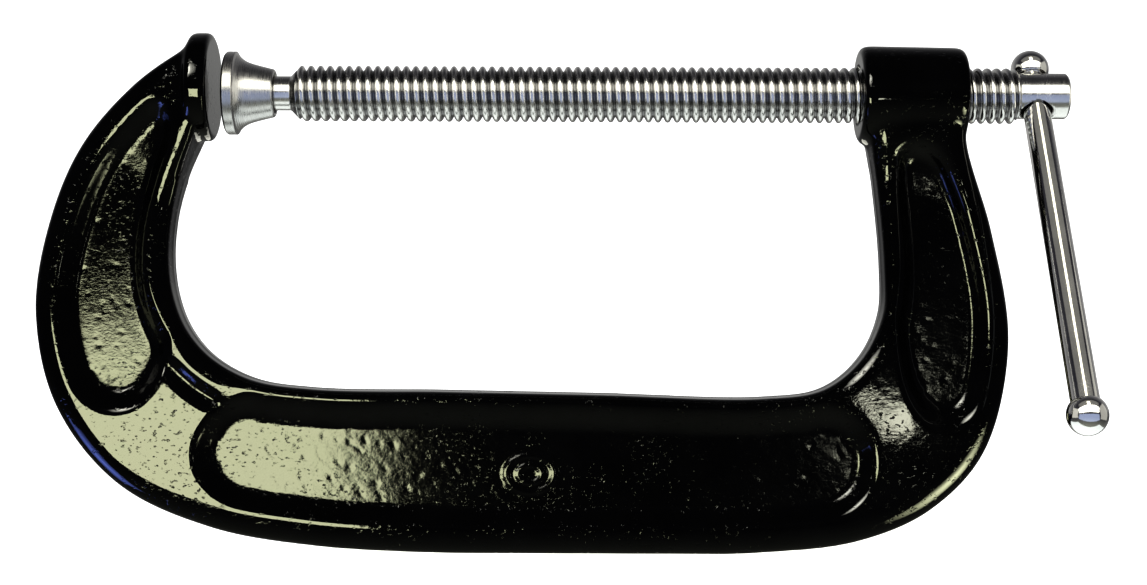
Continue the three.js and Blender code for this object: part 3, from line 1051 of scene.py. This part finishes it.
def surroundings():
    """White for the camera, and for the reflections a dim room that is lighter behind the object."""
    world = bpy.data.worlds.new("studio")
    bpy.context.scene.world = world
    world.use_nodes = True
    nodes, links = world.node_tree.nodes, world.node_tree.links
    nodes.clear()
    place = nodes.new("ShaderNodeTexCoord")
    split = nodes.new("ShaderNodeSeparateXYZ")
    links.new(place.outputs["Generated"], split.inputs["Vector"])
    spread = nodes.new("ShaderNodeMapRange")
    spread.inputs["From Min"].default_value = -1
    links.new(split.outputs["Z"], spread.inputs["Value"])
    front = colour_ramp(nodes, ROOM_IN_FRONT)
    links.new(spread.outputs["Result"], front.inputs["Fac"])
    behind = nodes.new("ShaderNodeMapRange")
    behind.inputs["From Min"].default_value = BEHIND_FROM
    behind.inputs["From Max"].default_value = BEHIND_FULL
    links.new(split.outputs["Y"], behind.inputs["Value"])
    backdrop = colour_ramp(nodes, ROOM_BEHIND)
    links.new(spread.outputs["Result"], backdrop.inputs["Fac"])
    blend = nodes.new("ShaderNodeMix")
    blend.data_type = "RGBA"
    links.new(behind.outputs["Result"], blend.inputs["Factor"])
    links.new(front.outputs["Color"], blend.inputs[6])
    links.new(backdrop.outputs["Color"], blend.inputs[7])
    room = nodes.new("ShaderNodeBackground")
    links.new(blend.outputs[2], room.inputs["Color"])
    white = nodes.new("ShaderNodeBackground")
    white.inputs["Color"].default_value = (1, 1, 1, 1)
    white.inputs["Strength"].default_value = GROUND_BRIGHTNESS
    path = nodes.new("ShaderNodeLightPath")
    either = nodes.new("ShaderNodeMixShader")
    links.new(path.outputs["Is Camera Ray"], either.inputs["Fac"])
    links.new(room.outputs["Background"], either.inputs[1])
    links.new(white.outputs["Background"], either.inputs[2])
    out = nodes.new("ShaderNodeOutputWorld")
    links.new(either.outputs["Shader"], out.inputs["Surface"])


def softbox(name, lit, at, aim, size, colour, radiance, spread=math.pi):
    """A rectangular lamp, in mm, that lights only the pieces in a collection.

    The radiance is how bright its reflection is. A narrow spread keeps its light to where it aims."""
    data = bpy.data.lights.new(name, "AREA")
    data.shape = "RECTANGLE"
    data.size, data.size_y = size[0] * MM, size[1] * MM
    data.color = colour
    data.energy = radiance * math.pi * data.size * data.size_y
    if spread < math.pi:
        data.spread = spread
        data.energy *= 1 - (spread / 2) / math.tan(spread / 2)
    obj = bpy.data.objects.new(name, data)
    obj.location = Vector(at) * MM
    obj.rotation_euler = (Vector(aim) - Vector(at)).to_track_quat("-Z", "Y").to_euler()
    bpy.context.scene.collection.objects.link(obj)
    obj.light_linking.receiver_collection = lit
    obj.visible_camera = False


def camera():
    """Square to the front with a slight roll, a little right of the object's middle."""
    data = bpy.data.cameras.new("camera")
    data.sensor_width = 36
    data.lens = CAMERA_LENS
    data.clip_start = 0.01
    data.clip_end = 50
    obj = bpy.data.objects.new("camera", data)
    upright = Matrix.Rotation(math.pi / 2, 4, "X")
    roll = Matrix.Rotation(CAMERA_ROLL, 4, "Z")
    obj.matrix_world = Matrix.Translation(Vector(CAMERA_AT) * MM) @ upright @ roll
    bpy.context.scene.collection.objects.link(obj)
    bpy.context.scene.camera = obj


def group(name, *pieces):
    """A collection of pieces for a lamp to light."""
    collection = bpy.data.collections.new(name)
    for piece in pieces:
        collection.objects.link(piece)
    return collection


floor(cad_low.z - FLOOR_GAP)
surroundings()
camera()

enamelled = group("enamelled", casting)
turned_parts = group("turned_parts", screw, pad, ring)
handle_parts = group("handle_parts", rod, ball_top, ball_bottom)
steel_parts = group("steel_parts", screw, pad, ring, rod, ball_top, ball_bottom)

softbox("key_lower_left", enamelled, (-127, -510, -151), (-127, 0, -151), (226, 158), PALE, 16.5)
softbox("lamp_right_corner", enamelled, (260, -510, -115), (260, 0, -115), (27, 20), CREAM, 19)
softbox("lamp_lower_right", enamelled, (350, -163, -232), (198, -5, -108), (170, 170), PALE, 24, NARROW)
softbox("lamp_upper_left", enamelled, (-50, -370, 185), (165, -5, -70), (300, 300), WARM, 26, NARROW)
softbox("lamp_above_left", enamelled, (-160, -330, 210), (-25, -5, -15), (40, 90), WARM, 16, NARROW)
softbox("sky_lower_left", enamelled, (-200, -100, -230), (-32, -5, -97), (110, 110), SKY, 13, NARROW)
softbox("fill_back", enamelled, (195, 520, -390), (195, 0, -390), (510, 390), WARM, 2.5)
softbox("band_above", steel_parts, (95, -509, 318), SCREW_MIDDLE, (1600, 437), WARM, 2.6)
softbox("band_level", steel_parts, (95, -574, -175), SCREW_MIDDLE, (1600, 420), COOL, 0.6)
softbox("band_below", steel_parts, (95, 100, -600), SCREW_MIDDLE, (1600, 900), CLEAR, 0.85)
for ending, lit, at_left, at_right in (("", turned_parts, 1.3, 1.1), ("_handle", handle_parts, 0.6, 0.45)):
    softbox("side_left" + ending, lit, (-700, -100, 60), SCREW_MIDDLE, (700, 700), WARM, at_left)
    softbox("side_right" + ending, lit, (900, -100, 60), SCREW_MIDDLE, (700, 700), WARM, at_right)
softbox("halo_above", handle_parts, (216, -300, 640), HANDLE_MIDDLE, (1500, 560), WARM, 0.2)
softbox("streak_above", handle_parts, (216, -253, 506), HANDLE_MIDDLE, (150, 260), HONEY, 2.1)
bpy.context.scene.view_settings.view_transform = "Standard"
bpy.context.scene.view_settings.look = "High Contrast"
